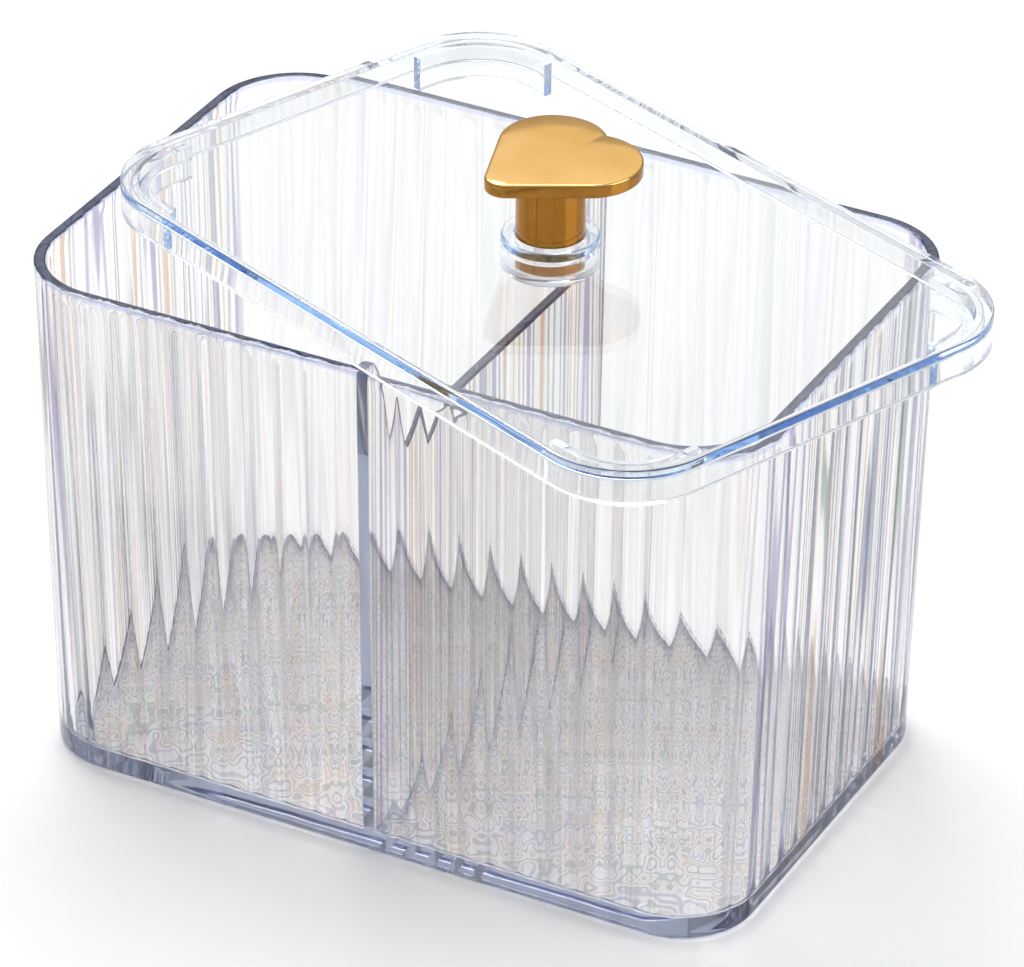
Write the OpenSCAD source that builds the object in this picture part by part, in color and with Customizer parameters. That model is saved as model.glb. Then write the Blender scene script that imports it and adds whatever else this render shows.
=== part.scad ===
// Clear storage box with two compartments, a loose lid lying askew on its rim,
// and a heart knob on the lid. Sizes in millimetres; z = 0 is the underside of the box.

/* [Box] */
// Overall width at the rim
box_w = 130; // [122:1:145]
// Overall depth at the rim
box_d = 85; // [80:1:90]
// Height from the underside to the rim
box_h = 90; // [75:1:110]
// Outside corner radius at the rim
corner_r = 15; // [12:0.5:16]
// Wall thickness at the ridges between the flutes
wall = 2; // [1.6:0.1:2.4]
// Floor thickness
floor_t = 3; // [2:0.25:4]
// How far each side leans in between the rim and the underside
draft = 2; // [1:0.25:2.5]
// Height and run of the small slope at the bottom outside edge
foot = 1; // [0.6:0.1:1.5]

/* [Flutes] */
// Number of vertical flutes around the inside, an even number
flutes = 72; // [48:4:80]
// Depth of each flute
flute_depth = 0.35; // [0.2:0.05:0.5]

/* [Divider] */
// Thickness of the divider
divider_t = 1.9; // [1.4:0.1:2.6]
// How far the middle of the divider lies below the rim
divider_drop = 20; // [14:1:28]
// Length of the full-height part at each end, from the wall inwards
divider_shelf = 2.5; // [1:0.5:4]
// Length of the slope from full height down to the middle part
divider_run = 10.5; // [8:0.5:14]

/* [Lid] */
// How far the lid stands out beyond the rim on each side
lid_lip = 0.5; // [0.3:0.1:1]
// Overall height of the lid plate and skirt
lid_h = 6; // [5:0.5:8]
// Thickness of the lid plate
plate_t = 2; // [1.5:0.1:2.5]
// Thickness of the skirt around the lid
skirt_t = 1.6; // [1.2:0.1:2]
// Clearance between the corner tabs and the inside of the rim when closed
tab_gap = 0.3; // [0.2:0.05:0.4]
// Thickness of the corner tabs
tab_t = 1.6; // [1.2:0.1:2]
// How far the corner tabs hang below the skirt
tab_drop = 2; // [1:0.25:3]
// Straight length of a corner tab on each side of its bend
tab_leg = 3.5; // [2:0.25:4]

/* [Lid position] */
// Turn of the loose lid seen from above, clockwise, in degrees
lid_turn = 22; // [21:0.5:24]
// Gap left between the right corner tab and the outside of the right wall
lid_clear = 3.8; // [2:0.2:5]

/* [Knob] */
// Diameter of the knob post
post_d = 11.2; // [8:0.2:12]
// Height of the post between the hub and the heart
post_h = 10.8; // [8:0.2:16]
// Clearance around the post in its seat, on each side
seat_gap = 0.1; // [0.05:0.05:0.3]
// Wall of the round hub around the post
hub_wall = 2.2; // [1.6:0.1:3]
// Height of the hub above the lid plate
hub_rise = 1.3; // [0.8:0.1:2]
// Depth of the hub below the lid plate
hub_drop = 3.8; // [2:0.1:5]
// Bottom thickness of the post seat
seat_t = 1; // [0.6:0.1:1.2]
// Width of the heart across both lobes
heart_w = 25.8; // [20:0.2:32]
// Thickness of the heart
heart_t = 2.6; // [2:0.1:4]

/* [Hidden] */
$fn = 96;
eps = 0.01;
lean = draft / box_h;
in_w = box_w - 2 * wall;
in_d = box_d - 2 * wall;
in_r = corner_r - wall;
lid_w = box_w + 2 * lid_lip;
lid_d = box_d + 2 * lid_lip;
lid_r = corner_r + lid_lip;
tab_in = lid_lip + wall + tab_gap;
tab_w = lid_w - 2 * tab_in;
tab_d = lid_d - 2 * tab_in;
tab_r = lid_r - tab_in;
hub_d = post_d + 2 * (seat_gap + hub_wall);
plate_z = lid_h - plate_t;
seat_z = plate_z - hub_drop + seat_t;
hub_top = lid_h + hub_rise;
tab_end_x = lid_w / 2 - lid_r - tab_leg;
tab_end_y = lid_d / 2 - tab_in - tab_t;
lid_x = box_w / 2 + lid_clear - tab_end_x * cos(lid_turn) - tab_end_y * sin(lid_turn);
heart_k = heart_w / 25.84;
lobe_r = 8.74 * heart_k;
lobe_x = 4.18 * heart_k;
lobe_y = 4.05 * heart_k;
tip_y = 9.41 * heart_k;
tip_r = 3.4 * heart_k;

// Points of a rectangle w by d with corner radius r, n steps to a corner
function round_rect(w, d, r, n) = [for (c = [0:3]) for (i = [0:n])
    let (a = 90 * c + 90 * i / n,
         sx = (c == 0 || c == 3) ? 1 : -1,
         sy = (c < 2) ? 1 : -1)
    [sx * (w / 2 - r) + r * cos(a), sy * (d / 2 - r) + r * sin(a)]];

// Point at length s along a quarter of the outline, from the middle of the front
// side to the middle of the right side, moved outwards by e
function quarter(w, d, r, s, e) =
    let (a = w / 2 - r, b = r * PI / 2)
    s <= a ? [s, -d / 2 - e] :
    s <= a + b ? let (t = -90 + (s - a) / r * 180 / PI)
        [a + (r + e) * cos(t), -(d / 2 - r) + (r + e) * sin(t)] :
    [w / 2 + e, -(d / 2 - r) + (s - a - b)];

// Point at length s around the whole outline, counter-clockwise from the front middle
function around(w, d, r, s, e) =
    let (q = (w / 2 - r) + (d / 2 - r) + r * PI / 2,
         k = floor(s / q + 1e-9), t = max(0, s - k * q))
    k == 0 ? quarter(w, d, r, t, e) :
    k == 1 ? let (p = quarter(w, d, r, q - t, e)) [p[0], -p[1]] :
    k == 2 ? let (p = quarter(w, d, r, t, e)) [-p[0], -p[1]] :
    let (p = quarter(w, d, r, max(0, q - t), e)) [-p[0], p[1]];

// Fluted inside outline: a ridge at every step, a shallow hollow between ridges
function fluted(w, d, r, n, deep) =
    let (len = 4 * ((w / 2 - r) + (d / 2 - r)) + 2 * PI * r, m = 4)
    [for (i = [0:n * m - 1]) let (u = (i % m) / m)
        around(w, d, r, len * i / (n * m), 4 * deep * u * (1 - u))];

// Heart outline around the post axis: two lobes, straight flanks and a rounded tip
function heart_half() =
    let (len = sqrt(lobe_x * lobe_x + (lobe_y + tip_y) * (lobe_y + tip_y)),
         ux = -lobe_x / len, uy = -(lobe_y + tip_y) / len,
         k = (lobe_r - tip_r) / len, q = sqrt(1 - k * k),
         nx = -uy * q + ux * k, ny = ux * q + uy * k,
         an = atan2(ny, nx), a0 = acos(-lobe_x / lobe_r))
    concat([for (i = [0:20]) let (a = a0 + (an - a0) * i / 20)
                [lobe_x + lobe_r * cos(a), lobe_y + lobe_r * sin(a)]],
           [for (i = [0:8]) let (a = an + (-90 - an) * i / 8)
                [tip_r * cos(a), -tip_y + tip_r * sin(a)]]);
function heart() = let (h = heart_half(), n = len(h))
    concat(h, [for (i = [n - 2:-1:1]) [-h[i][0], h[i][1]]]);

// Tapered block whose outline at the rim height is w by d with radius r
module leaning(points, w, d, z0, z1) {
    k0 = [1 - 2 * lean * (box_h - z0) / w, 1 - 2 * lean * (box_h - z0) / d];
    k1 = [1 - 2 * lean * (box_h - z1) / w, 1 - 2 * lean * (box_h - z1) / d];
    translate([0, 0, z0])
        linear_extrude(height = z1 - z0, scale = [k1[0] / k0[0], k1[1] / k0[1]], slices = 1, $fn = 0)
            polygon([for (p = points) [p[0] * k0[0], p[1] * k0[1]]]);
}

// Body: leaning walls, sloped bottom edge, fluted cavity, and the divider
module shell() {
    outline = round_rect(box_w, box_d, corner_r, 12);
    kf = [1 - 2 * lean * (box_h - foot) / box_w, 1 - 2 * lean * (box_h - foot) / box_d];
    fw = box_w * kf[0];
    fd = box_d * kf[1];
    difference() {
        union() {
            leaning(outline, box_w, box_d, foot, box_h);
            translate([0, 0, foot]) mirror([0, 0, 1])
                linear_extrude(height = foot, scale = [1 - 2 * foot / fw, 1 - 2 * foot / fd],
                    slices = 1, $fn = 0)
                    polygon([for (p = outline) [p[0] * kf[0], p[1] * kf[1]]]);
        }
        leaning(fluted(in_w, in_d, in_r, flutes, flute_depth), in_w, in_d, floor_t, box_h + 1);
    }
}

// Divider profile: full height at the walls, an S-shaped slope, a low middle part
module divider() {
    y0 = box_d / 2 - wall - divider_shelf;
    half = divider_run / 2;
    rise = divider_drop / 2;
    n = 8;
    slope = [for (i = [0:n]) let (t = i / n)
        [y0 - divider_run * t, box_h - divider_drop * (3 * t * t - 2 * t * t * t)]];
    side = concat([[box_d / 2 - wall * 0.6 - draft * (1 - floor_t / 2 / box_h), floor_t / 2],
                   [box_d / 2 - wall * 0.6, box_h]], slope);
    n2 = len(side);
    profile = concat(side, [for (i = [n2 - 1:-1:0]) [-side[i][0], side[i][1]]]);
    translate([-divider_t / 2, 0, 0])
        rotate([90, 0, 90]) linear_extrude(height = divider_t) polygon(profile);
}

module box() {
    color([0.86, 0.91, 0.95, 0.35]) union() {
        shell();
        divider();
    }
}

// Corner tabs that drop inside the rim when the lid is closed
module tabs() {
    translate([0, 0, -tab_drop]) linear_extrude(height = plate_z + tab_drop + plate_t / 2)
        intersection() {
            difference() {
                polygon(round_rect(tab_w, tab_d, tab_r, 12));
                polygon(round_rect(tab_w - 2 * tab_t, tab_d - 2 * tab_t, tab_r - tab_t, 12));
            }
            for (sx = [-1, 1]) for (sy = [-1, 1])
                translate([sx * (tab_end_x + 50), sy * (lid_d / 2 - lid_r - tab_leg + 50)])
                    square(100, center = true);
        }
}

module lid() {
    color([0.86, 0.91, 0.95, 0.35])
    translate([lid_x, 0, box_h]) rotate([0, 0, -lid_turn]) difference() {
        union() {
            translate([0, 0, plate_z]) linear_extrude(height = plate_t)
                polygon(round_rect(lid_w, lid_d, lid_r, 12));
            linear_extrude(height = plate_z + plate_t / 2) difference() {
                polygon(round_rect(lid_w, lid_d, lid_r, 12));
                polygon(round_rect(lid_w - 2 * skirt_t, lid_d - 2 * skirt_t, lid_r - skirt_t, 12));
            }
            tabs();
            translate([0, 0, plate_z - hub_drop]) cylinder(h = hub_top - plate_z + hub_drop, d = hub_d);
        }
        translate([0, 0, seat_z]) cylinder(h = hub_top, d = post_d + 2 * seat_gap);
    }
}

// Knob: round post standing in the hub seat, flat heart on top
module knob() {
    color([0.83, 0.62, 0.25])
    translate([lid_x, 0, box_h]) rotate([0, 0, -lid_turn]) {
        translate([0, 0, seat_z]) cylinder(h = hub_top - seat_z + post_h + heart_t / 2, d = post_d);
        translate([0, 0, hub_top + post_h]) linear_extrude(height = heart_t) polygon(heart());
    }
}

box();
lid();
knob();
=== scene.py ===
import math
import bpy, bmesh
from mathutils import Matrix, Vector


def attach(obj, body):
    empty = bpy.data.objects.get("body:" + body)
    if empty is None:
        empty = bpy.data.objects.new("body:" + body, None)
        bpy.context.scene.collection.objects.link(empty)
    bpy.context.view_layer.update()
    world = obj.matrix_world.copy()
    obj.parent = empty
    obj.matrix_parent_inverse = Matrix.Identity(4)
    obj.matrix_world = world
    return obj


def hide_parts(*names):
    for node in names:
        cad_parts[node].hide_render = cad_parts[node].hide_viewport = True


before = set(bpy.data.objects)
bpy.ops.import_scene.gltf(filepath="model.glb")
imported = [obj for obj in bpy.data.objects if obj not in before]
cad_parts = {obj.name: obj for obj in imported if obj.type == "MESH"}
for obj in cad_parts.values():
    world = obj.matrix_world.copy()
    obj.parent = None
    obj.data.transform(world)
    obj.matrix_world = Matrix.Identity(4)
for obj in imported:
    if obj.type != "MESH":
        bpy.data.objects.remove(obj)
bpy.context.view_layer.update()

MM = 0.001

# ---- sizes in millimetres: those of the CAD ----
BW, BD, BH, BR = 130.0, 85.0, 90.0, 15.0  # box: width, depth, height, corner radius
WALL, FLOOR, DRAFT, FOOT = 2.0, 3.0, 2.0, 1.0
FLUTES, DEEP = 72, 0.35
DIV_T, DIV_DROP, DIV_SHELF, DIV_RUN = 1.9, 20.0, 2.5, 10.5
LIP, LH, PT, SKT = 0.5, 6.0, 2.0, 1.6  # lid: overhang, height, plate, skirt
LW, LD, LR = BW + 2 * LIP, BD + 2 * LIP, BR + LIP
TAB_GAP, TAB_T, TAB_DROP, TAB_LEG = 0.3, 1.6, 2.0, 3.5
TAB_IN = LIP + WALL + TAB_GAP
TURN, LID_CLEAR = math.radians(-22.0), 3.8
LX = (BW / 2 + LID_CLEAR - (LW / 2 - LR - TAB_LEG) * math.cos(-TURN)
      - (LD / 2 - TAB_IN - TAB_T) * math.sin(-TURN))
LID = Matrix.Translation((LX * MM, 0, BH * MM)) @ Matrix.Rotation(TURN, 4, "Z")
POST, HUB, DROP = 5.6, 7.9, 3.8  # radius of the post, radius of the hub, depth of the hub
HUB_TOP, SEAT_Z, SEAT_GAP = LH + 1.3, LH - PT - DROP + 1.0, 0.1
POST_H, HEART_W, HEART_T = 10.8, 25.8, 2.6

# ---- sizes in millimetres: finish that only the scene has ----
STEPS = 8  # points to a flute
CORNER_STEPS = 24  # points to an outside corner
RIM_OUT, RIM_IN, FILLET = 0.55, 0.45, 1.2  # roundings of the rim and of the floor's inside edge
FADE_START, FADE_RUN = 3.2, 2.2  # the flutes fade out below the rim
DIV_ROUND = 0.5
LID_LOW, LID_INSIDE, LID_HIGH = 0.3, 0.35, 0.4  # roundings of the skirt, the inside and the plate
TAB_ROUND, HUB_LOW, HUB_HIGH = 0.35, 0.4, 0.6
SEAT_MOUTH = 0.25  # chamfer at the mouth of the seat
HEART_HIGH, HEART_LOW, CROWN = 0.45, 0.4, 0.2


# ---- mesh helpers ----
def corner_path(w, d, r, n):
    """Rounded rectangle, counter-clockwise, n steps to a corner."""
    pts = []
    for k, (sx, sy) in enumerate(((1, 1), (-1, 1), (-1, -1), (1, -1))):
        for i in range(n + 1):
            a = math.radians(90 * k + 90 * i / n)
            pts.append((sx * (w / 2 - r) + r * math.cos(a), sy * (d / 2 - r) + r * math.sin(a)))
    return pts


def along(w, d, r, s):
    """Point and outward normal at length s round a rounded rectangle, from the middle of the front."""
    a, b, q = w / 2 - r, d / 2 - r, math.pi * r / 2
    total = 4 * (a + b) + 4 * q
    s = s % total
    legs = ((a, 0), (q, 1), (2 * b, 0), (q, 1), (2 * a, 0), (q, 1), (2 * b, 0), (q, 1), (a, 0))
    x, y, ang = 0.0, -d / 2, 0.0
    for length, bend in legs:
        t = min(s, length)
        if bend:
            cx, cy = x - r * math.sin(ang), y + r * math.cos(ang)
            ang += t / r
            x, y = cx + r * math.sin(ang), cy - r * math.cos(ang)
        else:
            x, y = x + t * math.cos(ang), y + t * math.sin(ang)
        s -= t
        if s <= 1e-9:
            break
    return x, y, math.sin(ang), -math.cos(ang)


def arc(n, a0, a1):
    """Angles from a0 to a1 degrees in n steps, in radians."""
    return [math.radians(a0 + (a1 - a0) * i / n) for i in range(n + 1)]


def make(name, verts, faces):
    """New object from points in millimetres."""
    m = bpy.data.meshes.new(name)
    m.from_pydata([(x * MM, y * MM, z * MM) for x, y, z in verts], [], faces)
    m.validate()
    o = bpy.data.objects.new(name, m)
    bpy.context.scene.collection.objects.link(o)
    return o


def loft(name, rings):
    """Skin through rings of equal length, capped at both ends."""
    n, k = len(rings[0]), len(rings)
    verts = [p for r in rings for p in r]
    faces = []
    for j in range(k - 1):
        a, b = j * n, (j + 1) * n
        for i in range(n):
            i2 = (i + 1) % n
            faces.append((a + i, a + i2, b + i2, b + i))
    faces.append(tuple(reversed(range(n))))
    faces.append(tuple(range((k - 1) * n, k * n)))
    return make(name, verts, faces)


def lathe(name, prof, n=96):
    """Solid turned about the vertical axis from (radius, height) points."""
    turns = [2 * math.pi * i / n for i in range(n)]
    return loft(name, [[(r * math.cos(t), r * math.sin(t), z) for t in turns] for r, z in prof])


def reshape(o, change=None):
    """Turn the faces outwards, and make a change while the mesh is open."""
    bm = bmesh.new()
    bm.from_mesh(o.data)
    bmesh.ops.recalc_face_normals(bm, faces=bm.faces)
    if change:
        change(bm)
    bm.to_mesh(o.data)
    bm.free()
    return o


def apply_modifiers(o):
    """Make the result of an object's modifiers its own mesh."""
    deps = bpy.context.evaluated_depsgraph_get()
    mesh = bpy.data.meshes.new_from_object(o.evaluated_get(deps))
    o.modifiers.clear()
    old, o.data = o.data, mesh
    bpy.data.meshes.remove(old)


def boolean(a, b, how):
    """Cut b out of a, or join it to a; b is used up."""
    m = a.modifiers.new("cut", "BOOLEAN")
    m.operation, m.solver, m.object = how, "EXACT", b
    apply_modifiers(a)
    bpy.data.objects.remove(b, do_unlink=True)


def tidy(o, angle=32.0):
    """Merge, smooth, and weight the normals by face area, so that flat faces stay flat."""
    bm = bmesh.new()
    bm.from_mesh(o.data)
    bmesh.ops.remove_doubles(bm, verts=bm.verts, dist=2e-6)
    bmesh.ops.dissolve_degenerate(bm, dist=1e-6, edges=bm.edges)
    bmesh.ops.recalc_face_normals(bm, faces=bm.faces)
    for f in bm.faces:
        f.smooth = True
    bm.to_mesh(o.data)
    bm.free()
    o.data.set_sharp_from_angle(angle=math.radians(angle))
    m = o.modifiers.new("flat", "WEIGHTED_NORMAL")
    m.mode, m.weight, m.keep_sharp, m.thresh = "FACE_AREA", 100, True, 0.01
    apply_modifiers(o)


# ---- box ----
def inset(z):
    """How far each side leans in at height z."""
    return DRAFT * (1 - z / BH)


def outer_ring(z, e):
    """Outside outline at height z, pulled in by e."""
    i = inset(max(0.0, min(z, BH))) + e
    return [(x, y, z) for x, y in corner_path(BW - 2 * i, BD - 2 * i, BR - i, CORNER_STEPS)]


def box_solid():
    rings = []
    for a in arc(5, 0, 90):
        rings.append(outer_ring(FOOT - FOOT * math.cos(a), FOOT - FOOT * math.sin(a)))
    for z in (1.6, 20, 45, 70, 88.6):
        rings.append(outer_ring(z, 0))
    for a in arc(5, 0, 90):
        rings.append(outer_ring(BH - RIM_OUT + RIM_OUT * math.sin(a), RIM_OUT - RIM_OUT * math.cos(a)))
    return loft("Box", rings)


def inner_ring(z, e, deep=DEEP):
    """Fluted inside outline at height z, pulled in by e."""
    w, d, r = BW - 2 * WALL, BD - 2 * WALL, BR - WALL
    total = 2 * (w - 2 * r) + 2 * (d - 2 * r) + 2 * math.pi * r
    i = inset(min(z, BH + 2))
    kx, ky = 1 - 2 * i / w, 1 - 2 * i / d
    pts = []
    for k in range(FLUTES * STEPS):
        u = (k % STEPS) / STEPS
        x, y, nx, ny = along(w, d, r, total * k / (FLUTES * STEPS))
        f = deep * 4 * u * (1 - u) - e
        pts.append(((x + nx * f) * kx, (y + ny * f) * ky, z))
    return pts


def cavity():
    rings = []
    for a in arc(4, 0, 90):
        rings.append(inner_ring(FLOOR + FILLET - FILLET * math.cos(a), FILLET - FILLET * math.sin(a),
                                DEEP * (0.4 + 0.6 * math.sin(a))))
    for z in (4.6, 25, 50, 75):
        rings.append(inner_ring(z, 0))
    for t in (0.0, 0.25, 0.5, 0.75, 1.0):
        rings.append(inner_ring(BH - FADE_START + FADE_RUN * t, 0, DEEP * (1 - t * t * (3 - 2 * t))))
    for a in arc(4, 0, 90):
        rings.append(inner_ring(BH - RIM_IN + RIM_IN * math.sin(a), -(RIM_IN - RIM_IN * math.cos(a)), 0.0))
    rings.append(inner_ring(BH + 2, -RIM_IN, 0.0))
    return loft("Cavity", rings)


def divider_profile():
    """Side view of the divider: full height at the walls, an S-shaped slope, a low middle."""
    y_wall, y0, n = BD / 2 - WALL + 0.9, BD / 2 - WALL - DIV_SHELF, 14
    side = [(y_wall, FLOOR - 1.5), (y_wall, BH)]
    for i in range(n + 1):
        t = i / n
        side.append((y0 - DIV_RUN * t, BH - DIV_DROP * (3 * t * t - 2 * t * t * t)))
    return side + [(-y, z) for y, z in reversed(side)]


def round_divider(bm):
    """Round both long edges of the divider's top."""
    top = [e for e in bm.edges if abs(e.verts[0].co.x - e.verts[1].co.x) < 1e-7
           and min(v.co.z for v in e.verts) > 60 * MM and max(abs(v.co.y) for v in e.verts) < 41 * MM]
    bmesh.ops.bevel(bm, geom=top, offset=DIV_ROUND * MM, segments=3, profile=0.5, affect="EDGES")


def divider():
    rings = [[(x, y, z) for y, z in divider_profile()] for x in (-DIV_T / 2, DIV_T / 2)]
    return reshape(loft("Divider", rings), round_divider)


body = box_solid()
hole = cavity()
boolean(hole, divider(), "DIFFERENCE")
boolean(body, hole, "DIFFERENCE")
tidy(body)
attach(body, "root")
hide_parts("box")


# ---- lid, in its own axes with z = 0 at the skirt's lower edge ----
def lid_ring(z, e):
    """Outline of the lid at height z, pulled in by e."""
    return [(x, y, z) for x, y in corner_path(LW - 2 * e, LD - 2 * e, LR - e, CORNER_STEPS)]


def lid_solid():
    """Plate and skirt, without tabs and hub."""
    low, inside, high = LID_LOW, LID_INSIDE, LID_HIGH
    rings = []
    for a in arc(4, 90, 0):
        rings.append(lid_ring(0.03 + low - low * math.sin(a), low - low * math.cos(a)))
    for a in arc(6, 0, 90):
        rings.append(lid_ring(LH - high + high * math.sin(a), high - high * math.cos(a)))
    shell = loft("Lid", rings)
    inner = [lid_ring(-1.0, SKT - low)]
    for a in arc(3, 90, 0):
        inner.append(lid_ring(0.029 + low - low * math.sin(a), SKT - low + low * math.cos(a)))
    for a in arc(5, 0, 90):
        inner.append(lid_ring(LH - PT - inside + inside * math.sin(a), SKT + inside - inside * math.cos(a)))
    boolean(shell, loft("LidInside", inner), "DIFFERENCE")
    return shell


def tab(sx, sy):
    """One corner tab: an arc with a short straight leg at each end, rounded below."""
    cx, cy = LW / 2 - LR, LD / 2 - LR
    ro, ri = LR - TAB_IN, LR - TAB_IN - TAB_T

    def line(r):
        p = [(cx + r, cy - TAB_LEG)]
        p += [(cx + r * math.cos(a), cy + r * math.sin(a)) for a in arc(16, 0, 90)]
        p += [(cx - TAB_LEG, cy + r)]
        return p

    def section(e):
        out, inn = line(ro - e), line(ri + e)
        out[0], inn[0] = (out[0][0], out[0][1] + e), (inn[0][0], inn[0][1] + e)
        out[-1], inn[-1] = (out[-1][0] + e, out[-1][1]), (inn[-1][0] + e, inn[-1][1])
        return [(x * sx, y * sy) for x, y in out + inn[::-1]]

    rings = []
    for a in arc(3, 90, 0):
        rings.append([(x, y, -TAB_DROP + TAB_ROUND * (1 - math.sin(a)))
                      for x, y in section(TAB_ROUND * (1 - math.cos(a)))])
    rings.append([(x, y, LH - PT + 0.8) for x, y in section(0)])
    return reshape(loft("Tab", rings))


lid = lid_solid()
for sx in (-1, 1):
    for sy in (-1, 1):
        boolean(lid, tab(sx, sy), "UNION")
prof = [(HUB - HUB_LOW + HUB_LOW * math.cos(a), LH - PT - DROP + HUB_LOW - HUB_LOW * math.sin(a))
        for a in arc(3, 90, 0)]
prof += [(HUB - HUB_HIGH + HUB_HIGH * math.cos(a), HUB_TOP - HUB_HIGH + HUB_HIGH * math.sin(a))
         for a in arc(5, 0, 90)]
boolean(lid, lathe("Hub", prof), "UNION")
seat_r = POST + SEAT_GAP
boolean(lid, lathe("Seat", [(seat_r, SEAT_Z), (seat_r, HUB_TOP - 0.15), (seat_r + SEAT_MOUTH, HUB_TOP + 0.1),
                            (seat_r + SEAT_MOUTH, HUB_TOP + 2)]), "DIFFERENCE")
lid.data.transform(LID)
tidy(lid)
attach(lid, "root")
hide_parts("lid")


# ---- knob ----
def heart_path(e):
    """Heart outline about the post's axis, pulled in by e: two lobes, straight flanks, a round tip."""
    k = HEART_W / 25.84
    lr, lx, ly, ty, tr = 8.74 * k - e, 4.18 * k, 4.05 * k, 9.41 * k, 3.4 * k - e
    ln = math.hypot(lx, ly + ty)
    ux, uy = -lx / ln, -(ly + ty) / ln
    c = (lr - tr) / ln
    q = math.sqrt(1 - c * c)
    an = math.atan2(ux * q + uy * c, -uy * q + ux * c)
    a0 = math.acos(-lx / lr)
    lobe, tip = 40, 16
    pts = []
    for i in range(lobe + 1):
        a = a0 + (an - a0) * i / lobe
        pts.append((lx + lr * math.cos(a), ly + lr * math.sin(a)))
    for i in range(1, tip + 1):
        a = an + (-math.pi / 2 - an) * i / tip
        pts.append((tr * math.cos(a), -ty + tr * math.sin(a)))
    full = pts + [(-x, y) for x, y in reversed(pts[1:-1])]
    return full[::-1]


def heart_solid():
    """Flat heart with rounded edges and a slightly crowned top."""
    z0 = HUB_TOP + POST_H
    z1 = z0 + HEART_T
    low, high = HEART_LOW, HEART_HIGH
    rings = []
    for a in arc(5, 90, 0):
        rings.append([(x, y, z0 + low - low * math.sin(a)) for x, y in heart_path(low - low * math.cos(a))])
    for a in arc(5, 0, 90):
        rings.append([(x, y, z1 - CROWN - high + high * math.sin(a))
                      for x, y in heart_path(high - high * math.cos(a))])
    edge = heart_path(high)
    for k in (0.93, 0.84, 0.72, 0.58, 0.43, 0.28, 0.14, 0.03):
        rings.append([(x * k, y * k, z1 - CROWN * k ** 4) for x, y in edge])
    return loft("Knob", rings)


knob = heart_solid()
# the post starts just above the seat's bottom, with a small chamfer, and ends inside the heart
post = lathe("Post", [(POST - 0.3, SEAT_Z + 0.03), (POST, SEAT_Z + 0.33), (POST, HUB_TOP + 11.2)], 128)
bm = bmesh.new()
bm.from_mesh(knob.data)
bm.from_mesh(post.data)
bm.to_mesh(knob.data)
bm.free()
bpy.data.objects.remove(post, do_unlink=True)
knob.data.transform(LID)
tidy(knob, 40)
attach(knob, "root")
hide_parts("knob")


# ---- materials ----
def node_material(name):
    m = bpy.data.materials.new(name)
    m.use_nodes = True
    nt = m.node_tree
    return m, nt, nt.nodes["Principled BSDF"]


def noise(nt, vector, scale, detail=2.0):
    n = nt.nodes.new("ShaderNodeTexNoise")
    n.inputs["Scale"].default_value = scale
    n.inputs["Detail"].default_value = detail
    nt.links.new(vector, n.inputs["Vector"])
    return n.outputs["Fac"]


def remap(nt, value, low, high, to_low=0.0, to_high=1.0, kind="LINEAR"):
    """Carry a value from one range into another."""
    m = nt.nodes.new("ShaderNodeMapRange")
    m.interpolation_type = kind
    m.inputs["From Min"].default_value = low
    m.inputs["From Max"].default_value = high
    m.inputs["To Min"].default_value = to_low
    m.inputs["To Max"].default_value = to_high
    nt.links.new(value, m.inputs["Value"])
    return m.outputs["Result"]


def height(nt, vector):
    """The upward part of a vector."""
    axis = nt.nodes.new("ShaderNodeSeparateXYZ")
    nt.links.new(vector, axis.inputs["Vector"])
    return axis.outputs["Z"]


def ramp(nt, value, stops):
    """Colours along a value. The first two stops are the ends."""
    r = nt.nodes.new("ShaderNodeValToRGB")
    el = r.color_ramp.elements
    for i, (pos, color) in enumerate(stops):
        e = el[i] if i < 2 else el.new(pos)
        e.position, e.color = pos, (*color, 1)
    nt.links.new(value, r.inputs["Fac"])
    return r.outputs["Color"]


def multiply(nt, factor, a, b):
    """Colour a, multiplied by colour b as far as the factor says. Each is a socket or a tuple."""
    mix = nt.nodes.new("ShaderNodeMix")
    mix.data_type, mix.blend_type = "RGBA", "MULTIPLY"
    for i, v in ((0, factor), (6, a), (7, b)):
        if isinstance(v, tuple):
            mix.inputs[i].default_value = (*v, 1)
        else:
            nt.links.new(v, mix.inputs[i])
    return mix.outputs[2]


def uneven(nt, p, vector, scale, detail, strength):
    """Faint waves in the surface."""
    bump = nt.nodes.new("ShaderNodeBump")
    bump.inputs["Strength"].default_value = strength
    bump.inputs["Distance"].default_value = 0.0004
    nt.links.new(noise(nt, vector, scale, detail), bump.inputs["Height"])
    nt.links.new(bump.outputs["Normal"], p.inputs["Normal"])


WHITE = (1, 1, 1)
# painted stripes of reflected colour: where each starts and ends in the noise, and its colour
PAINTED_STREAKS = ((0.375, 0.41, (0.17, 0.13, 0.34)), (0.485, 0.51, (0.12, 0.18, 0.16)),
         (0.575, 0.598, (0.52, 0.24, 0.12)), (0.65, 0.69, (0.10, 0.12, 0.22)))
PAINTED_STREAK_EDGE = 0.015


def painted_streak_stops():
    stops = [(0.36, WHITE), (0.80, WHITE)]
    for first, last, c in PAINTED_STREAKS:
        paler = tuple(v ** 0.7 for v in c)
        stops += [(first - PAINTED_STREAK_EDGE, WHITE), (first, c), (last, paler), (last + PAINTED_STREAK_EDGE, WHITE)]
    return stops


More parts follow.
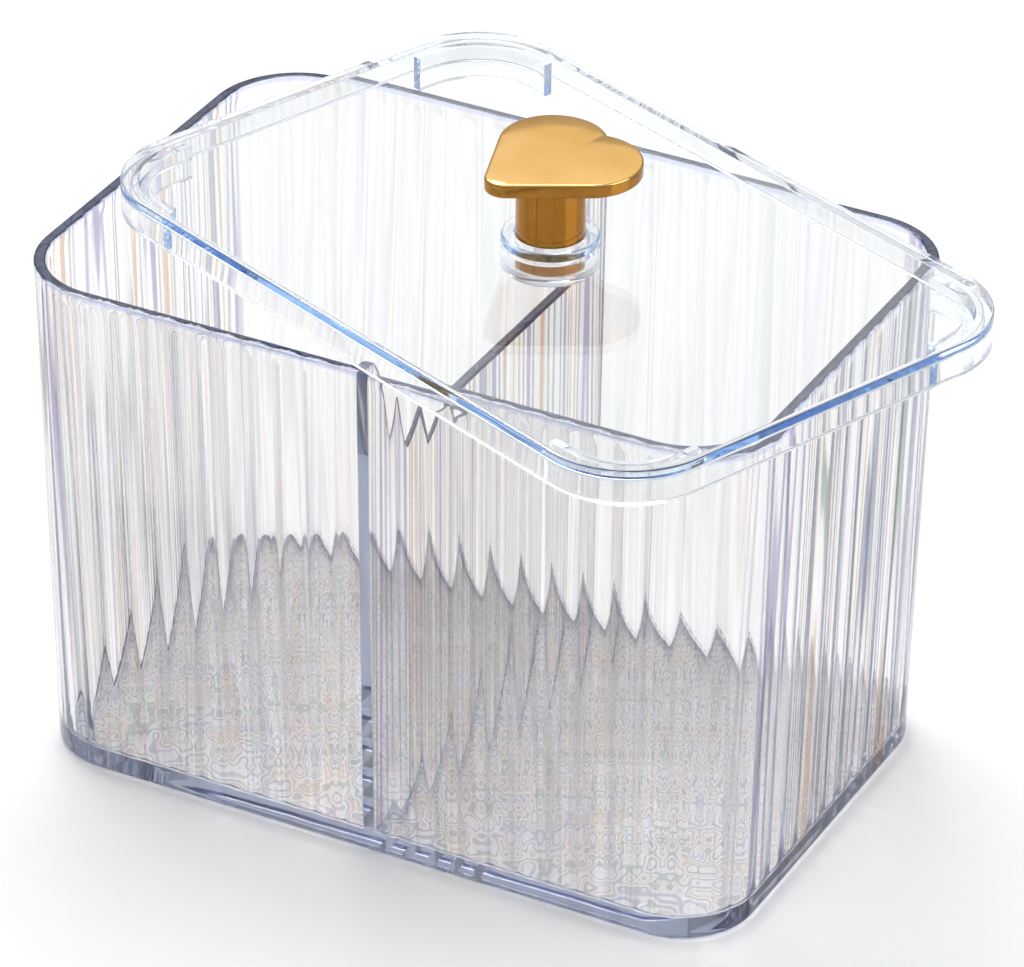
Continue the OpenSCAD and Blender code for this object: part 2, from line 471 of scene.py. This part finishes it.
def clear_plastic(name, tint, depth, density, painted_streaks, edge, low, high):
    """Clear moulded plastic: faint flow waves in the surface, a tint that only shows where light
    runs a long way through an edge, painted stripes of reflected colour that grow at a glancing angle, and
    a bluer cut edge between the heights low and high."""
    m, nt, p = node_material(name)
    p.inputs["Transmission Weight"].default_value = 1.0
    p.inputs["IOR"].default_value = 1.5
    place = nt.nodes.new("ShaderNodeTexCoord").outputs["Object"]
    uneven(nt, p, place, 38.0, 2.0, 0.06)
    nt.links.new(remap(nt, noise(nt, place, 220.0), 0.0, 1.0, 0.0, 0.02), p.inputs["Roughness"])
    stretch = nt.nodes.new("ShaderNodeMapping")
    stretch.inputs["Scale"].default_value = (1.0, 1.0, 0.008)
    nt.links.new(place, stretch.inputs["Vector"])
    # painted reflection: stripes of colour up the walls, standing in for stripes of reflected light
    tone = ramp(nt, noise(nt, stretch.outputs["Vector"], 165.0, 1.2), painted_streak_stops())
    glance = nt.nodes.new("ShaderNodeLayerWeight")
    glance.inputs["Blend"].default_value = 0.5
    # the painted stripes of reflected colour are strongest where the wall is seen at a glancing angle
    painted_streak_amount = remap(nt, glance.outputs["Facing"], 0.2, 0.6, 0.11 * painted_streaks, painted_streaks)
    z = height(nt, place)
    both = nt.nodes.new("ShaderNodeMath")
    both.operation = "MULTIPLY"
    for i, (a, b) in enumerate(((low - 0.3 * MM, low + 0.1 * MM), (high + 0.3 * MM, high - 0.1 * MM))):
        nt.links.new(remap(nt, z, a, b, kind="SMOOTHSTEP"), both.inputs[i])
    color = multiply(nt, both.outputs["Value"], multiply(nt, painted_streak_amount, tint, tone), edge)
    nt.links.new(color, p.inputs["Base Color"])
    vol = nt.nodes.new("ShaderNodeVolumeAbsorption")
    vol.inputs["Color"].default_value = (*depth, 1)
    vol.inputs["Density"].default_value = density
    out = [n for n in nt.nodes if n.type == "OUTPUT_MATERIAL"][0]
    nt.links.new(vol.outputs["Volume"], out.inputs["Volume"])
    return m


def gold():
    """Polished gold plate: soft clouds of tone, a painted dark reflection on the vertical faces, and faint
    polishing marks in the gloss."""
    m, nt, p = node_material("PolishedGold")
    p.inputs["Metallic"].default_value = 1.0
    place = nt.nodes.new("ShaderNodeTexCoord").outputs["Object"]
    nt.links.new(remap(nt, noise(nt, place, 300.0, 4.0), 0.0, 1.0, 0.05, 0.12), p.inputs["Roughness"])
    uneven(nt, p, place, 110.0, 1.0, 0.12)
    tone = ramp(nt, noise(nt, place, 45.0), ((0.35, (0.80, 0.46, 0.12)), (0.68, (0.96, 0.60, 0.22))))
    facing = nt.nodes.new("ShaderNodeNewGeometry").outputs["Normal"]
    # painted dark reflection: the colour is darkened on faces that stand vertical, the post and the heart's side
    painted_dark_reflection = remap(nt, height(nt, facing), 0.2, 0.8, 1.0, 0.0)
    nt.links.new(multiply(nt, painted_dark_reflection, tone, (0.47, 0.35, 0.19)), p.inputs["Base Color"])
    return m


def dress(o, material):
    o.data.materials.clear()
    o.data.materials.append(material)


# the box carries the painted stripes of reflected colour; the lid carries none
dress(body, clear_plastic("ClearBox", tint=(0.975, 0.972, 0.964), depth=(0.20, 0.27, 0.46), density=15.0,
                          painted_streaks=1.0, edge=(0.62, 0.68, 1.0), low=89.3 * MM, high=91 * MM))
dress(lid, clear_plastic("ClearLid", tint=(0.965, 0.965, 0.96), depth=(0.28, 0.60, 0.94), density=13.0,
                         painted_streaks=0.0, edge=(0.80, 0.90, 1.0), low=94.2 * MM, high=95.7 * MM))
dress(knob, gold())

# ---- floor, light, camera ----
FLOOR_HALF, FLOOR_Z = 4000, -0.05  # millimetres; a hair below the box, so that no faces coincide
floor = make("Floor", [(x * FLOOR_HALF, y * FLOOR_HALF, FLOOR_Z) for x, y in ((-1, -1), (1, -1), (1, 1), (-1, 1))],
             [(0, 1, 2, 3)])
pale, _, fp = node_material("PaleFloor")
fp.inputs["Base Color"].default_value = (0.93, 0.93, 0.93, 1)
fp.inputs["Roughness"].default_value = 0.7
fp.inputs["Specular IOR Level"].default_value = 0.2
floor.data.materials.append(pale)

# a grey ground below the horizon and an even pale studio above it
world = bpy.data.worlds.new("Studio")
bpy.context.scene.world = world
world.use_nodes = True
wn = world.node_tree
bg = wn.nodes["Background"]
direction = wn.nodes.new("ShaderNodeTexCoord").outputs["Generated"]
STUDIO = (0.62, 0.62, 0.62)
sky = ramp(wn, height(wn, direction),
           ((0.0, (0.16, 0.17, 0.20)), (1.0, STUDIO), (0.2, (0.34, 0.35, 0.38)), (0.45, STUDIO)))
wn.links.new(sky, bg.inputs["Color"])
bg.inputs["Strength"].default_value = 1.0


def area(name, pos, aim, size, power):
    """Square soft light, in metres and watts."""
    l = bpy.data.lights.new(name, "AREA")
    l.shape, l.size, l.energy = "SQUARE", size, power
    o = bpy.data.objects.new(name, l)
    o.location = pos
    o.rotation_euler = (Vector(aim) - Vector(pos)).to_track_quat("-Z", "Y").to_euler()
    bpy.context.scene.collection.objects.link(o)


area("TopLight", pos=(-0.34, 0.28, 0.74), aim=(0, 0.02, 0.03), size=0.5, power=3.9)
area("BackPanel", pos=(-0.319, 0.618, 0.829), aim=(0, 0, 0.11), size=0.75, power=0.7)
area("SidePanel", pos=(0.75, 0.1, 0.5), aim=(0, 0, 0.04), size=0.6, power=2.4)

# the camera, as fitted to the photo: angles in degrees, lengths in metres
AZIMUTH, ELEVATION, ROLL, DISTANCE = 27.3346, 31.0495, 0.5993, 1.08728
TARGET = Vector((0.001034, 0.00741, 0.044))
SENSOR_MM, FOCAL_PX, FRAME_PX = 36.0, 6661.3, 1024.0
cam_data = bpy.data.cameras.new("Camera")
cam = bpy.data.objects.new("Camera", cam_data)
bpy.context.scene.collection.objects.link(cam)
az, el, roll = math.radians(AZIMUTH), math.radians(ELEVATION), math.radians(ROLL)
fwd = Vector((-math.sin(az) * math.cos(el), math.cos(az) * math.cos(el), -math.sin(el)))
right = fwd.cross(Vector((0, 0, 1))).normalized()
up = right.cross(fwd)
right, up = right * math.cos(roll) + up * math.sin(roll), -right * math.sin(roll) + up * math.cos(roll)
pos = TARGET - fwd * DISTANCE
cam.matrix_world = Matrix(((right.x, up.x, -fwd.x, pos.x), (right.y, up.y, -fwd.y, pos.y),
                           (right.z, up.z, -fwd.z, pos.z), (0, 0, 0, 1)))
cam_data.sensor_width = SENSOR_MM
cam_data.lens = SENSOR_MM * FOCAL_PX / FRAME_PX
cam_data.clip_start, cam_data.clip_end = 0.05, 20.0
cam_data.dof.use_dof = False
bpy.context.scene.camera = cam

# light passes many faces of clear plastic, and total reflection inside an edge counts as gloss
sc = bpy.context.scene
sc.view_settings.view_transform = "Standard"
sc.cycles.max_bounces = 64
sc.cycles.transmission_bounces = 64
sc.cycles.glossy_bounces = 64
sc.cycles.diffuse_bounces = 6
sc.cycles.caustics_reflective = True
sc.cycles.caustics_refractive = True
sc.cycles.blur_glossy = 0.0
